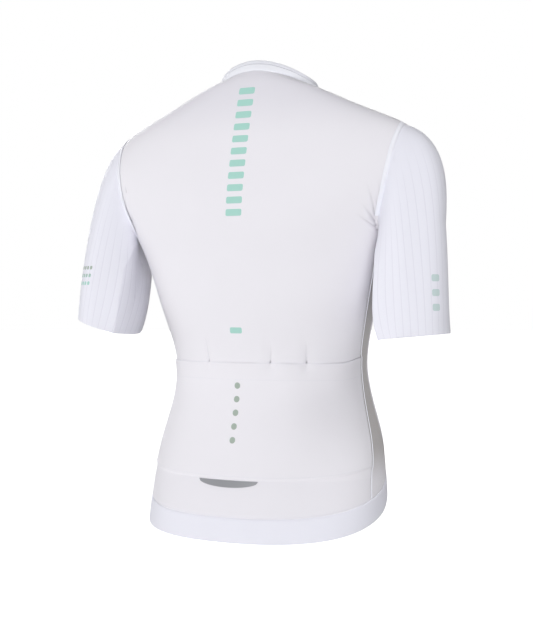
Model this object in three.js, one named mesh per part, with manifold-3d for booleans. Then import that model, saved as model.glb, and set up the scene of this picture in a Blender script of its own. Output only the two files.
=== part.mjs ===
// A white short-sleeved cycling jersey, held in the shape of the body that wears it.
// Millimetres, +Z up, the front faces -Y and the wearer's left is +X.
// The origin is level with the root of the neck, in the middle of the neck opening.
import * as THREE from 'three';
import { mergeVertices } from 'three/addons/utils/BufferGeometryUtils.js';
import Module from 'manifold-3d';

// Cloth, seams and trims
const WALL = 1.5;
const SEAM_GAP = 0.3;
const HEM_WALL = 2.1;
const POCKET_WALL = 1.2;
const TRIM_WALL = 0.8;
const POCKET_SAG = 1.6;
const TAPE_WIDTH = 6;
const TAPE_END = 12;
const COLLAR = { band: 9.4, binding: 4.6, lean: 3, wall: 1.8, bindingWall: 1.4 };
const ZIP = { opening: 6, tapeWall: 1, coilHalf: 2.2, coilRise: 1.3, coilWall: 2.3 };
const SLIDER = { half: 4.4, noseHalf: 2.7, length: 11, base: 2.0, below: 9 };
const EARS = { wall: 1.1, height: 3.6, pin: 0.8, rim: 0.5, sunk: 0.2 };
const PULL = { half: 2.6, length: 25, wall: 1.4, eye: 1.25, rim: 1.3, rest: 25 };

// Where the seams cross the body, counted in rows of the torso table
const HEM_TOP = 0.6;
const MOON_LOW = 1.28;
const POCKET_LOW = 1.46;
const POCKET_TOP = 3.86;
const NECK = 12;
const MOON = { halfWidth: 44, columns: 12, end: 0.06, below: 0.02 };
const DIVIDERS = [49, -46, -93];

// Horizontal sections of the body: height at the side, half width, depth behind and in front of
// the middle, the middle's place, and how far the section tilts and bows at the back and the front
const TORSO = table('z half back front middle tilt bowBack bowFront square', [
  [-593, 170, 136, 106, 6, -43, 14, 50, 2.3], // hem edge
  [-543, 166, 126, 106, 4, -33, 8, 42, 2.3], // tail
  [-500, 159, 113, 108, 0, -9, 1, 46, 2.3], // hip
  [-430, 141, 98, 106, -3, 0, 0, 25, 2.2], // below the waist
  [-380, 140, 93, 102, 3, 0, 0, 5, 2.2], // waist
  [-310, 159, 88, 110, 17, 0, 0, 0, 2.2], // ribs
  [-250, 180, 84, 128, 22, 0, 0, 0, 2.2], // chest
  [-205, 199, 83, 134, 25, 0, 0, 0, 2.4], // under the arm
  [-160, 222, 77, 130, 27, 0, 0, 0, 2.7], // middle of the armhole
  [-115, 231, 69, 117, 26, 0, 0, -8, 2.8], // shoulder blade
  [-75, 213, 60, 100, 23, 2.5, 5.5, -16, 2.4], // shoulder point
  [-46, 142, 49, 84, 17, 12.5, 22, -28, 2.1], // shoulder slope
  [-20, 75, 48, 60, 6, 12, 16, -31, 2.0], // neck seam
]);

// The armhole is an oval on the body, squarer low at the back: rows at its foot and its top, half
// widths in degrees
const ARMHOLE = { low: 6.75, top: 10, back: 12.2, front: 15, skew: -0.1, square: 0.42 };
const RING = 32;
const SIDE = { backIndex: 14, frontIndex: 18, backAtHem: 8.5, frontAtHem: -16, dip: 7.5, dipPower: 1.5 };

// The cuff is an oval too, turned up outwards. The arms hang a little differently.
const CUFF = { x: 237, y: 51, halfWidth: 44, halfDepth: 52 };
const HANG = { left: { z: -341, outwards: 17 }, right: { z: -351, outwards: 5.5 } };

// How the sleeve leaves the armhole and reaches the cuff, at four places round the arm
const SLEEVE = table('out back down reach endOut endReach', [
  [0.92, 0.05, -0.40, 0.72, 0.06, 0.95], // over the shoulder
  [0.45, 0.30, -0.80, 0.55, 0.05, 0.80], // behind the arm
  [0.02, 0.15, -0.98, 0.75, 0.45, 1.10], // under the arm
  [0.50, -0.20, -0.85, 0.55, 0.50, 0.80], // before the arm
]);
const SLEEVE_CREASE = { turn: 35.5, height: 5, spread: 42, reach: 0.62, swell: 0.8 };
const SHOULDER_CAP = { turn: 325, height: 8, spread: 75, reach: 0.55 };

// The largest creases: from a place on the body to another, in degrees and rows
const CREASES = table('angle row toAngle toRow width depth', [
  [9, 6.95, 19, 7.35, 6, 1.6],
  [9.5, 7.0, 17.5, 7.75, 6, 2.2],
  [10, 7.1, 14.5, 8.4, 5, 1.8],
  [171, 6.95, 161, 7.45, 6, 1.8],
  [170.5, 7.0, 162.5, 7.66, 6, 2.4],
  [170, 7.1, 164, 8.34, 5, 2.0],
  [-12, 7.0, -27, 7.4, 7, 1.8],
  [-12, 7.1, -23, 7.9, 7, 2.2],
  [192, 7.0, 207, 7.5, 7, 2.0],
  [192, 7.1, 202, 7.8, 7, 1.8],
]);
const TUCK = { rise: 0.78, width: 7, depth: 2.6, beside: 0.019 };
const FOLD_REACH = 30;

const COLOURS = {
  knit: { color: 0xecebf0, roughness: 0.62, metalness: 0 },
  rib: { color: 0xe9e8f4, roughness: 0.66, metalness: 0 },
  hem: { color: 0xececf6, roughness: 0.55, metalness: 0 },
  trim: { color: 0xe7e8f2, roughness: 0.5, metalness: 0 },
  reflective: { color: 0x9a9b9f, roughness: 0.4, metalness: 0.2 },
  zip: { color: 0xe4e4ea, roughness: 0.45, metalness: 0 },
  metal: { color: 0xb9bbc0, roughness: 0.3, metalness: 1 },
};

const wasm = await Module();
wasm.setup();

function table(names, rows) {
  const keys = names.split(' ');
  return rows.map((row) => Object.fromEntries(keys.map((key, i) => [key, row[i]])));
}

function smooth(x) {
  const s = Math.min(Math.max(x, 0), 1);
  return s * s * (3 - 2 * s);
}

const radians = (degrees) => (degrees * Math.PI) / 180;
const evenly = (count) => Array.from({ length: count + 1 }, (_, i) => i / count);

// One row of the torso table at any height, on a curve through all the rows
function section(row) {
  const last = TORSO.length - 1;
  const i = Math.min(Math.max(Math.floor(row), 0), last - 1);
  const f = row - i;
  const result = {};
  for (const key of Object.keys(TORSO[0])) {
    const b = TORSO[i][key];
    const c = TORSO[i + 1][key];
    const a = i > 0 ? TORSO[i - 1][key] : 2 * b - c;
    const d = i < last - 1 ? TORSO[i + 2][key] : 2 * c - b;
    const bend = 2 * a - 5 * b + 4 * c - d;
    result[key] = b + 0.5 * ((c - a) * f + bend * f * f + (3 * b - a - 3 * c + d) * f ** 3);
  }
  return result;
}

// The plain body: angle 0 is the wearer's left, 90 the back, 270 the front
function body(angle, row) {
  const s = section(row);
  const cos = Math.cos(radians(angle));
  const sin = Math.sin(radians(angle));
  const depth = sin > 0 ? s.back : s.front;
  const bow = sin > 0 ? s.bowBack : s.bowFront;
  const power = (Math.abs(cos) / s.half) ** s.square + (Math.abs(sin) / depth) ** s.square;
  const radius = power ** (-1 / s.square);
  const across = (radius * sin) / depth;
  const z = s.z + s.tilt * across + bow * across * across;
  return new THREE.Vector3(radius * cos, s.middle + radius * sin, z);
}

function normalOf(surface, a, b, stepA, stepB) {
  const alongA = surface(a + stepA, b).sub(surface(a - stepA, b));
  const alongB = surface(a, b + stepB).sub(surface(a, b - stepB));
  return alongA.cross(alongB).normalize();
}

// Steps for a surface's slope, in the units that it is measured in
const STEP = { angle: 0.2, row: 0.01, turn: 1, along: 0.005, up: 0.5 };
const bodyNormal = (angle, row) => normalOf(body, angle, row, STEP.angle, STEP.row);

// Angles that divide a row of the body at given parts of its length
function spread(from, to, row, parts) {
  const steps = 72;
  const angles = Array.from({ length: steps + 1 }, (_, i) => from + ((to - from) * i) / steps);
  const places = angles.map((angle) => body(angle, row));
  const lengths = [0];
  for (let i = 1; i <= steps; i += 1) {
    lengths.push(lengths[i - 1] + places[i].distanceTo(places[i - 1]));
  }
  const total = lengths[steps];
  return parts.map((part) => {
    let i = 1;
    while (i < steps && lengths[i] < part * total) i += 1;
    const f = (part * total - lengths[i - 1]) / (lengths[i] - lengths[i - 1]);
    return angles[i - 1] + (angles[i] - angles[i - 1]) * f;
  });
}

// The angle at which a row of the back stands a given distance from the middle
function backAngleAt(x, row) {
  let low = 20;
  let high = 160;
  for (let i = 0; i < 40; i += 1) {
    const middle = (low + high) / 2;
    if (body(middle, row).x > x) low = middle;
    else high = middle;
  }
  return (low + high) / 2;
}

// Creases and tucks, as lines on the body that the cloth sinks along
const tucks = DIVIDERS.map((x) => {
  const angle = backAngleAt(x, POCKET_TOP);
  return { angle, row: POCKET_TOP - 0.1, toAngle: angle, toRow: POCKET_TOP + TUCK.rise, ...TUCK };
});
const folds = [...CREASES, ...tucks].map((fold) => ({
  from: body(fold.angle, fold.row),
  to: body(fold.toAngle, fold.toRow),
  width: fold.width,
  depth: fold.depth,
}));

function sink(place, normal) {
  let depth = 0;
  for (const fold of folds) {
    const line = fold.to.clone().sub(fold.from);
    const along = place.clone().sub(fold.from).dot(line) / line.lengthSq();
    const part = Math.min(Math.max(along, 0), 1);
    const off = place.clone().sub(fold.from).addScaledVector(line, -part);
    const away = off.dot(normal);
    if (Math.abs(away) > FOLD_REACH) continue; // on the other side of the body
    off.addScaledVector(normal, -away);
    const fade = 1 - smooth(part * 1.05);
    depth += fold.depth * fade * Math.exp(-((off.length() / fold.width) ** 2));
  }
  return depth;
}

// A corner of a panel: its place on the outside of the cloth and the way out of the cloth
function corner(angle, row) {
  const normal = bodyNormal(angle, row);
  const plain = body(angle, row);
  return { place: plain.clone().addScaledVector(normal, -sink(plain, normal)), normal };
}

// Places round the armhole: 0 at the shoulder, 90 behind, 180 under the arm, 270 in front
function armholePlace(turn) {
  const cos = Math.cos(radians(turn));
  const sin = Math.sin(radians(turn));
  const half = sin >= 0 ? ARMHOLE.back : ARMHOLE.front;
  const across = sin > 0 && cos < 0 ? sin ** ARMHOLE.square : sin;
  const row = (ARMHOLE.low + ARMHOLE.top) / 2 + ((ARMHOLE.top - ARMHOLE.low) / 2) * cos;
  return { angle: half * across * (1 + ARMHOLE.skew * cos), row };
}

function armholePoint(turn) {
  const { angle, row } = armholePlace(turn);
  return body(angle, row);
}

// The sleeve: its length runs from 0 at the armhole to 1 at the cuff
function sleeve(turn, along, hang = HANG.left) {
  const hump = Math.sin(radians(Math.min(Math.max(turn, 0), 360) / 2)) ** 2;
  const turned = turn - SLEEVE_CREASE.turn * along * hump;
  const start = armholePoint(turn);
  const cos = Math.cos(radians(turned));
  const sin = Math.sin(radians(turned));
  const tilt = radians(hang.outwards);
  const end = new THREE.Vector3(
    CUFF.x + CUFF.halfWidth * cos * Math.cos(tilt),
    CUFF.y + CUFF.halfDepth * sin,
    hang.z + CUFF.halfWidth * cos * Math.sin(tilt),
  );
  const turnCos = Math.cos(radians(turn));
  const turnSin = Math.sin(radians(turn));
  const parts = [turnCos, turnSin, -turnCos, -turnSin].map((part) => Math.max(part, 0) ** 2);
  const mix = (key) => parts.reduce((sum, part, i) => sum + part * SLEEVE[i][key], 0);
  const length = start.distanceTo(end);
  const leave = new THREE.Vector3(mix('out'), mix('back'), mix('down'));
  leave.multiplyScalar(length * mix('reach'));
  const arrive = new THREE.Vector3(mix('endOut'), 0.03, -1).multiplyScalar(length * mix('endReach'));
  const v = along;
  return start.clone().multiplyScalar(2 * v ** 3 - 3 * v ** 2 + 1)
    .addScaledVector(leave, v ** 3 - 2 * v ** 2 + v)
    .addScaledVector(end, 3 * v ** 2 - 2 * v ** 3)
    .addScaledVector(arrive, v ** 3 - v ** 2);
}

// The sleeve hangs in a sharp crease that starts at the back of the side panel, and swells out
// before the shoulder
function sleeveCorner(turn, along, hang) {
  const surface = (a, b) => sleeve(a, b, hang);
  const normal = normalOf(surface, turn, along, STEP.turn, STEP.along).negate();
  const off = Math.abs(turn - (SIDE.backIndex * 360) / RING) / SLEEVE_CREASE.spread;
  const swell = Math.sin(Math.PI * along * SLEEVE_CREASE.reach) ** SLEEVE_CREASE.swell;
  const ridge = SLEEVE_CREASE.height * Math.max(1 - off, 0) ** 2 * swell;
  const apart = Math.abs(turn - SHOULDER_CAP.turn);
  const beside = Math.min(apart, 360 - apart) / SHOULDER_CAP.spread;
  const arch = Math.sin(Math.PI * Math.min(along / SHOULDER_CAP.reach, 1));
  const cap = SHOULDER_CAP.height * smooth(1 - beside) * arch;
  return { place: surface(turn, along).addScaledVector(normal, ridge + cap), normal };
}

// The way along the armhole's edge and the way from it into the panels
function armholeEdge(turn) {
  const { angle, row } = armholePlace(turn);
  const normal = bodyNormal(angle, row);
  const edge = armholePoint(turn + 1).sub(armholePoint(turn - 1)).normalize();
  return { normal, edge, intoBody: normal.clone().cross(edge).normalize() };
}

// The plane between the body and the sleeve at a place of the armhole
function armholeSeam(turn) {
  const { edge, intoBody } = armholeEdge(turn);
  const intoSleeve = sleeve(turn, 0.02).sub(sleeve(turn, 0));
  intoSleeve.addScaledVector(edge, -intoSleeve.dot(edge)).normalize();
  return { at: armholePoint(turn), across: intoSleeve.sub(intoBody).normalize() };
}

// Turns a grid of corners into a closed wall. Each edge keeps half a seam's gap to its neighbour,
// and a corner on a seam plane keeps its whole thickness on its own side of that plane.
function wall(grid, { outer = 0, inner = -WALL, closed = false, gaps = {}, mirror = false }) {
  const rows = grid.length;
  const columns = grid[0].length;
  const half = SEAM_GAP / 2;
  const pull = { first: half, last: half, start: half, end: half, ...gaps };
  const towards = (a, b, distance) => b.place.clone().sub(a.place).setLength(distance);
  const outside = [];
  const inside = [];
  grid.forEach((line, r) => line.forEach((point, c) => {
    const shift = new THREE.Vector3();
    if (r === 0) shift.add(towards(point, grid[1][c], pull.first));
    if (r === rows - 1) shift.add(towards(point, grid[r - 1][c], pull.last));
    if (!closed && !point.seam && c === 0) shift.add(towards(point, line[1], pull.start));
    if (!closed && !point.seam && c === columns - 1) shift.add(towards(point, line[c - 1], pull.end));
    if (point.seam) {
      if (r === 0 || r === rows - 1) shift.set(0, 0, 0);
      shift.addScaledVector(point.seam.across, half * point.side);
    }
    for (const [list, lift] of [[outside, outer], [inside, inner]]) {
      const place = point.place.clone().add(shift).addScaledVector(point.normal, lift);
      if (point.seam) {
        const off = place.clone().sub(point.seam.at).dot(point.seam.across) * point.side;
        if (off < half) place.addScaledVector(point.seam.across, (half - off) * point.side);
      }
      if (mirror) place.x = -place.x;
      list.push(place);
    }
  }));
  const triangles = [];
  const quad = (a, b, c, d) => triangles.push(a, b, c, a, c, d);
  const count = rows * columns;
  const around = closed ? columns : columns - 1;
  for (let r = 0; r < rows - 1; r += 1) {
    for (let c = 0; c < around; c += 1) {
      const next = (c + 1) % columns;
      const a = r * columns + c;
      const b = r * columns + next;
      const up = columns;
      quad(a, b, b + up, a + up);
      quad(count + a, count + a + up, count + b + up, count + b);
    }
  }
  for (let c = 0; c < around; c += 1) {
    const next = (c + 1) % columns;
    const top = (rows - 1) * columns;
    quad(c, count + c, count + next, next);
    quad(top + c, top + next, count + top + next, count + top + c);
  }
  if (!closed) {
    for (let r = 0; r < rows - 1; r += 1) {
      const low = r * columns;
      const high = low + columns;
      quad(low, high, count + high, count + low);
      const end = columns - 1;
      quad(low + end, count + low + end, count + high + end, high + end);
    }
  }
  return solid([...outside, ...inside], triangles);
}

// A closed mesh from corners and triangles, turned so that its faces point out
function solid(corners, triangles) {
  let volume = 0;
  for (let i = 0; i < triangles.length; i += 3) {
    const [a, b, c] = [0, 1, 2].map((k) => corners[triangles[i + k]]);
    volume += a.dot(b.clone().cross(c));
  }
  const index = [...triangles];
  if (volume < 0) {
    for (let i = 0; i < index.length; i += 3) [index[i], index[i + 1]] = [index[i + 1], index[i]];
  }
  const geometry = new THREE.BufferGeometry();
  const positions = corners.flatMap((each) => each.toArray());
  geometry.setAttribute('position', new THREE.Float32BufferAttribute(positions, 3));
  geometry.setIndex(index);
  return geometry;
}

// Rows of the panels: along the side seam, up the armhole and over the shoulder
const ringTurn = (index) => (index * 360) / RING;
const SIDE_TOP = armholePlace(ringTurn(SIDE.backIndex)).row;
const LOW_ROWS = [HEM_TOP, 0.95, MOON_LOW, POCKET_LOW, 2.05, 2.7, 3.3, POCKET_TOP, 4.25, 4.7, 5.2, 5.7, 6.3];
const SHOULDER_ROWS = [10.25, 10.55, 10.9, 11.3, 11.65, NECK];

// The left edge of the back or the front, from the hem to the neck
function panelEdge(onBack) {
  const rows = LOW_ROWS.map((row) => ({ row, angle: sideAngle(onBack, row) }));
  const first = onBack ? SIDE.backIndex : SIDE.frontIndex;
  const count = onBack ? SIDE.backIndex : RING - SIDE.frontIndex;
  for (let k = 0; k <= count; k += 1) {
    const turn = ringTurn(onBack ? first - k : first + k);
    const { angle, row } = armholePlace(turn);
    rows.push({ row, angle, turn });
  }
  for (const row of SHOULDER_ROWS) rows.push({ row, angle: 0 });
  return rows;
}

// The side panel's two edges: the one behind swings forward at the waist
const sideDip = (up) => SIDE.dip * Math.sin(Math.PI * up) ** SIDE.dipPower;

function sideAngle(onBack, row) {
  const up = (row - HEM_TOP) / (SIDE_TOP - HEM_TOP);
  const top = armholePlace(ringTurn(onBack ? SIDE.backIndex : SIDE.frontIndex)).angle;
  const low = onBack ? SIDE.backAtHem : SIDE.frontAtHem;
  return low + (top - low) * up - (onBack ? sideDip(Math.max(up, 0)) : 0);
}

function seamCorner(angle, row, turn) {
  const point = corner(angle, row);
  if (turn === undefined) return point;
  point.place = armholePoint(turn);
  return { ...point, seam: armholeSeam(turn), side: -1 };
}

const mirrored = (point) => {
  const flip = (vector) => new THREE.Vector3(-vector.x, vector.y, vector.z);
  const copy = { ...point, place: flip(point.place), normal: flip(point.normal) };
  if (point.seam) copy.seam = { at: flip(point.seam.at), across: flip(point.seam.across) };
  return copy;
};

// How far across the back a tuck stands at the pocket's top, from 0 at the left side to 1
function partAcross(angle) {
  const start = sideAngle(true, POCKET_TOP);
  const parts = evenly(400);
  const angles = spread(start, 180 - start, POCKET_TOP, parts);
  return parts[angles.findIndex((each) => each >= angle)];
}

const TUCK_PARTS = tucks.map((tuck) => partAcross(tuck.angle));

// Columns of the back: closer at the sides, with a line down each tuck and beside it
function backColumns() {
  const parts = evenly(24).map((part) => part / 2 + (1 - Math.cos(Math.PI * part)) / 4);
  for (const middle of TUCK_PARTS) {
    for (const place of [middle - TUCK.beside, middle, middle + TUCK.beside]) {
      const near = (other) => other > 0 && other < 1 && Math.abs(other - place) < 0.6 * TUCK.beside;
      const taken = parts.findIndex(near);
      if (taken >= 0) parts.splice(taken, 1);
      parts.push(place);
    }
  }
  return parts.sort((a, b) => a - b);
}

const BACK_PARTS = backColumns();
const FRONT_PARTS = evenly(10);

function backGrid() {
  return panelEdge(true).map(({ angle, row, turn }) => {
    const angles = spread(angle, 180 - angle, row, BACK_PARTS);
    const line = angles.map((each) => corner(each, row));
    if (turn !== undefined) {
      line[0] = seamCorner(angle, row, turn);
      line[line.length - 1] = mirrored(line[0]);
    }
    return line;
  });
}

// The front's inner edge follows the zip
function zipAngle(row) {
  return -90 + (Math.atan2(ZIP.opening, section(row).front) * 180) / Math.PI;
}

function frontGrid() {
  return panelEdge(false).map(({ angle, row, turn }) => {
    const line = spread(angle, zipAngle(row), row, FRONT_PARTS).map((each) => corner(each, row));
    if (turn !== undefined) line[0] = seamCorner(angle, row, turn);
    return line;
  });
}

function sideGrid() {
  const grid = [];
  const rows = [...LOW_ROWS, SIDE_TOP];
  for (const row of rows) {
    const up = (row - HEM_TOP) / (SIDE_TOP - HEM_TOP);
    const line = [];
    for (let index = SIDE.backIndex; index <= SIDE.frontIndex; index += 1) {
      const top = armholePlace(ringTurn(index));
      const share = (index - SIDE.backIndex) / (SIDE.frontIndex - SIDE.backIndex);
      const back = sideAngle(true, HEM_TOP);
      const angleLow = back + (sideAngle(false, HEM_TOP) - back) * share;
      const angle = angleLow + (top.angle - angleLow) * up - sideDip(up) * (1 - share);
      const height = HEM_TOP + (top.row - HEM_TOP) * up;
      line.push(up === 1 ? seamCorner(top.angle, top.row, ringTurn(index)) : corner(angle, height));
    }
    grid.push(line);
  }
  return grid;
}

function sleeveGrid(hang) {
  const lengths = [0, 0.05, 0.11, 0.18, 0.26, 0.35, 0.45, 0.55, 0.65, 0.76, 0.88, 1];
  return lengths.map((along) => {
    const line = [];
    for (let index = 0; index < RING; index += 1) {
      const turn = ringTurn(index);
      const point = sleeveCorner(turn, along, hang);
      if (along === 0) {
        point.place = armholePoint(turn);
        point.seam = armholeSeam(turn);
        point.side = 1;
      }
      line.push(point);
    }
    return line;
  });
}

// What lies on the back is made from the back's own corners, moved out. The pocket's top sags
// open between the tucks.
function pocketGrid(grid) {
  const rows = panelEdge(true).map(({ row }) => row);
  const low = rows.indexOf(POCKET_LOW);
  const high = rows.indexOf(POCKET_TOP);
  const ends = [0, ...TUCK_PARTS, 1].sort((a, b) => a - b);
  const between = BACK_PARTS.map((part) => {
    const next = Math.max(ends.findIndex((end) => end >= part), 1);
    return (part - ends[next - 1]) / (ends[next] - ends[next - 1]);
  });
  return grid.slice(low, high + 1).map((line, k) => line.map(({ place, normal }, c) => {
    const up = smooth((k / (high - low)) ** 1.5);
    const open = POCKET_SAG * up * Math.sin(Math.PI * between[c]) ** 2;
    return { place: place.clone().addScaledVector(normal, open), normal };
  }));
}

function moonGrid() {
  const top = POCKET_LOW - MOON.below;
  return [1, 0].map((down) => evenly(MOON.columns).map((part) => {
    const across = 1 - 2 * part;
    const depth = MOON.end + (1 - MOON.end) * Math.sqrt(1 - across * across);
    const angle = backAngleAt(across * MOON.halfWidth, POCKET_LOW);
    return corner(angle, top - (top - MOON_LOW) * depth * down);
  }));
}

// A narrow tape over the seam behind the arm, from the shoulder to under the arm
function seamTapeGrid() {
  const line = (distance) => {
    const points = [];
    for (let index = 1; index <= TAPE_END; index += 1) {
      const turn = ringTurn(index);
      const { normal, intoBody } = armholeEdge(turn);
      const place = armholePoint(turn).addScaledVector(intoBody, distance);
      points.push({ place, normal });
    }
    return points;
  };
  return [line(TAPE_WIDTH), line(TAPE_WIDTH / 2), line(0.6)];
}

// Angles all round a row, from one side of the zip to the other, at the columns of the panels
function ringAngles(row) {
  const onHem = row <= HEM_TOP;
  const backEdge = onHem ? sideAngle(true, HEM_TOP) : 0;
  const frontEdge = onHem ? sideAngle(false, HEM_TOP) : 0;
  const left = spread(frontEdge, zipAngle(row), row, FRONT_PARTS).reverse();
  if (onHem) {
    const width = SIDE.frontIndex - SIDE.backIndex;
    for (let i = 1; i < width; i += 1) left.push(frontEdge + ((backEdge - frontEdge) * i) / width);
  } else left.pop();
  const right = left.map((angle) => 180 - angle).reverse();
  return [...left, ...spread(backEdge, 180 - backEdge, row, BACK_PARTS), ...right];
}

function collarPoint(angle, up) {
  const outwards = new THREE.Vector3(Math.cos(radians(angle)), Math.sin(radians(angle)), 0);
  const height = COLLAR.band + COLLAR.binding;
  const foot = body(angle, NECK).addScaledVector(outwards, (-COLLAR.lean * up) / height);
  return foot.add(new THREE.Vector3(0, 0, up));
}

function collarCorner(angle, up) {
  const normal = normalOf(collarPoint, angle, up, STEP.angle, STEP.up);
  return { place: collarPoint(angle, up), normal };
}

function hemGrid() {
  return [0, HEM_TOP].map((row) => ringAngles(row).map((angle) => corner(angle, row)));
}

function collarGrid(from, to) {
  return [from, to].map((up) => ringAngles(NECK).map((angle) => collarCorner(angle, up)));
}

// The zip's line down the middle of the front, with the way out of the cloth at each place
function zipLine() {
  const line = evenly(24).map((part) => {
    const row = NECK * part;
    return { place: body(-90, row), normal: bodyNormal(-90, row) };
  });
  for (const up of [COLLAR.band / 2, COLLAR.band, COLLAR.band + COLLAR.binding]) {
    line.push(collarCorner(-90, up));
  }
  line.forEach((point) => {
    point.place.x = 0;
    point.normal.x = 0;
    point.normal.normalize();
  });
  return line;
}

// Sweeps a strip along the zip: from and to are across the zip, low and high are off the cloth
function zipStrip(line, from, to, low, high) {
  const profile = [[from, low], [to, low], [to, high], [from, high]];
  const corners = line.flatMap(({ place, normal }) => profile.map(([x, lift]) => {
    const point = place.clone().addScaledVector(normal, lift);
    point.x = x;
    return point;
  }));
  const triangles = [0, 1, 2, 0, 2, 3];
  const last = (line.length - 1) * 4;
  triangles.push(last, last + 2, last + 1, last, last + 3, last + 2);
  for (let i = 0; i < line.length - 1; i += 1) {
    for (let k = 0; k < 4; k += 1) {
      const a = i * 4 + k;
      const b = i * 4 + ((k + 1) % 4);
      triangles.push(a, a + 4, b + 4, a, b + 4, b);
    }
  }
  return solid(corners, triangles);
}

function toManifold(geometry) {
  const bare = geometry.clone();
  bare.deleteAttribute('normal');
  bare.deleteAttribute('uv');
  const merged = mergeVertices(bare, 1e-4);
  const vertProperties = new Float32Array(merged.attributes.position.array);
  const triVerts = new Uint32Array(merged.index.array);
  return new wasm.Manifold(new wasm.Mesh({ numProp: 3, vertProperties, triVerts }));
}

function fromManifold(shape) {
  const mesh = shape.getMesh();
  const geometry = new THREE.BufferGeometry();
  geometry.setAttribute('position', new THREE.BufferAttribute(mesh.vertProperties, 3));
  geometry.setIndex(new THREE.BufferAttribute(mesh.triVerts, 1));
  return geometry;
}

// The slider in its own frame: -Y out of the cloth, Z along the zip, the pull's pin on X
function sliderGeometry(pinOut) {
  const { half, noseHalf, length, base } = SLIDER;
  const plate = new THREE.Shape();
  plate.moveTo(-noseHalf, -length / 2);
  plate.lineTo(noseHalf, -length / 2);
  plate.lineTo(half, length / 10);
  plate.quadraticCurveTo(half, length / 2, 0, length / 2);
  plate.quadraticCurveTo(-half, length / 2, -half, length / 10);
  const options = { depth: base, bevelEnabled: false, curveSegments: 5 };
  const lowest = ZIP.coilRise + SEAM_GAP;
  const plateSolid = new THREE.ExtrudeGeometry(plate, options).rotateX(Math.PI / 2);
  plateSolid.translate(0, -lowest, 0);
  const foot = lowest + base - EARS.sunk;
  const reach = pinOut + EARS.pin + EARS.rim - foot;
  const earX = PULL.half + SEAM_GAP + EARS.wall / 2;
  const pin = new THREE.CylinderGeometry(EARS.pin, EARS.pin, 2 * earX, 10).rotateZ(Math.PI / 2);
  pin.translate(0, -pinOut, 0);
  let whole = toManifold(plateSolid).add(toManifold(pin));
  for (const side of [-1, 1]) {
    const ear = new THREE.BoxGeometry(EARS.wall, reach, EARS.height);
    ear.translate(side * earX, -(foot + reach / 2), 0);
    whole = whole.add(toManifold(ear));
  }
  return fromManifold(whole);
}

// The tab is a flat strip with a round barrel at its top, bored for the pin
function pullSolid() {
  const { half, length, wall: thick, eye, rim } = PULL;
  const profile = new THREE.Shape();
  const outer = eye + rim;
  const start = Math.asin(thick / 2 / outer);
  profile.absarc(0, 0, outer, -Math.PI / 2 + start, (3 * Math.PI) / 2 - start, false);
  profile.lineTo(-thick / 2, -length + thick);
  profile.quadraticCurveTo(-thick / 2, -length, 0, -length);
  profile.quadraticCurveTo(thick / 2, -length, thick / 2, -length + thick);
  const hole = new THREE.Path();
  hole.absarc(0, 0, eye, 0, 2 * Math.PI, true);
  profile.holes.push(hole);
  const options = { depth: 2 * half, bevelEnabled: false, curveSegments: 14 };
  const strip = new THREE.ExtrudeGeometry(profile, options);
  return strip.translate(0, 0, -half).rotateY(Math.PI / 2).rotateX(Math.PI / 2);
}

const jersey = new THREE.Group();

function add(name, geometry, finish) {
  const mesh = new THREE.Mesh(geometry, new THREE.MeshStandardMaterial(COLOURS[finish]));
  mesh.name = name;
  jersey.add(mesh);
  return mesh;
}

const back = backGrid();
add('back', wall(back, {}), 'knit');
add('pocket_panel', wall(pocketGrid(back), {
  inner: SEAM_GAP,
  outer: SEAM_GAP + POCKET_WALL,
  gaps: { start: 0.5, end: 0.5 },
}), 'knit');
add('reflective_tab', wall(moonGrid(), { inner: SEAM_GAP, outer: SEAM_GAP + TRIM_WALL }), 'reflective');

const front = frontGrid();
const side = sideGrid();
const tape = seamTapeGrid();
for (const [name, mirror] of [['left', false], ['right', true]]) {
  add(`front_${name}`, wall(front, { mirror }), 'knit');
  add(`side_${name}`, wall(side, { mirror }), 'knit');
  const arm = sleeveGrid(HANG[name]);
  add(`sleeve_${name}`, wall(arm, { closed: true, mirror, gaps: { last: 0 } }), 'rib');
  add(`seam_tape_${name}`, wall(tape, {
    mirror,
    inner: 2 * SEAM_GAP,
    outer: 2 * SEAM_GAP + TRIM_WALL,
    gaps: { first: 0, last: 0 },
  }), 'trim');
}

add('hem_band', wall(hemGrid(), { outer: HEM_WALL - WALL, gaps: { first: 0 } }), 'hem');
add('collar', wall(collarGrid(0, COLLAR.band), { inner: -COLLAR.wall }), 'trim');
add('collar_binding', wall(collarGrid(COLLAR.band, COLLAR.band + COLLAR.binding), {
  inner: -COLLAR.wall,
  outer: COLLAR.bindingWall - COLLAR.wall,
  gaps: { last: 0 },
}), 'trim');

const zip = zipLine();
const tapeEdge = ZIP.opening - SEAM_GAP;
add('zip_tape_left', zipStrip(zip, ZIP.coilHalf + SEAM_GAP, tapeEdge, -ZIP.tapeWall, 0), 'zip');
add('zip_tape_right', zipStrip(zip, -tapeEdge, -ZIP.coilHalf - SEAM_GAP, -ZIP.tapeWall, 0), 'zip');
const coilFoot = ZIP.coilRise - ZIP.coilWall;
add('zip_coil', zipStrip(zip, -ZIP.coilHalf, ZIP.coilHalf, coilFoot, ZIP.coilRise), 'zip');

const pinOut = ZIP.coilRise + SEAM_GAP + SLIDER.base + PULL.eye + PULL.rim + SEAM_GAP;
const sliderUp = COLLAR.band + COLLAR.binding - SLIDER.below;
const sliderPlace = collarPoint(-90, sliderUp);
const zipLean = Math.atan2(COLLAR.lean, COLLAR.band + COLLAR.binding);
const slider = add('zip_slider', sliderGeometry(pinOut), 'metal');
slider.position.copy(sliderPlace);
slider.rotation.x = -zipLean;
const pull = add('zip_pull', pullSolid(), 'metal');
pull.position.copy(new THREE.Vector3(0, -pinOut, 0).applyEuler(slider.rotation).add(sliderPlace));
pull.rotation.x = -radians(PULL.rest);

export default jersey;
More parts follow.
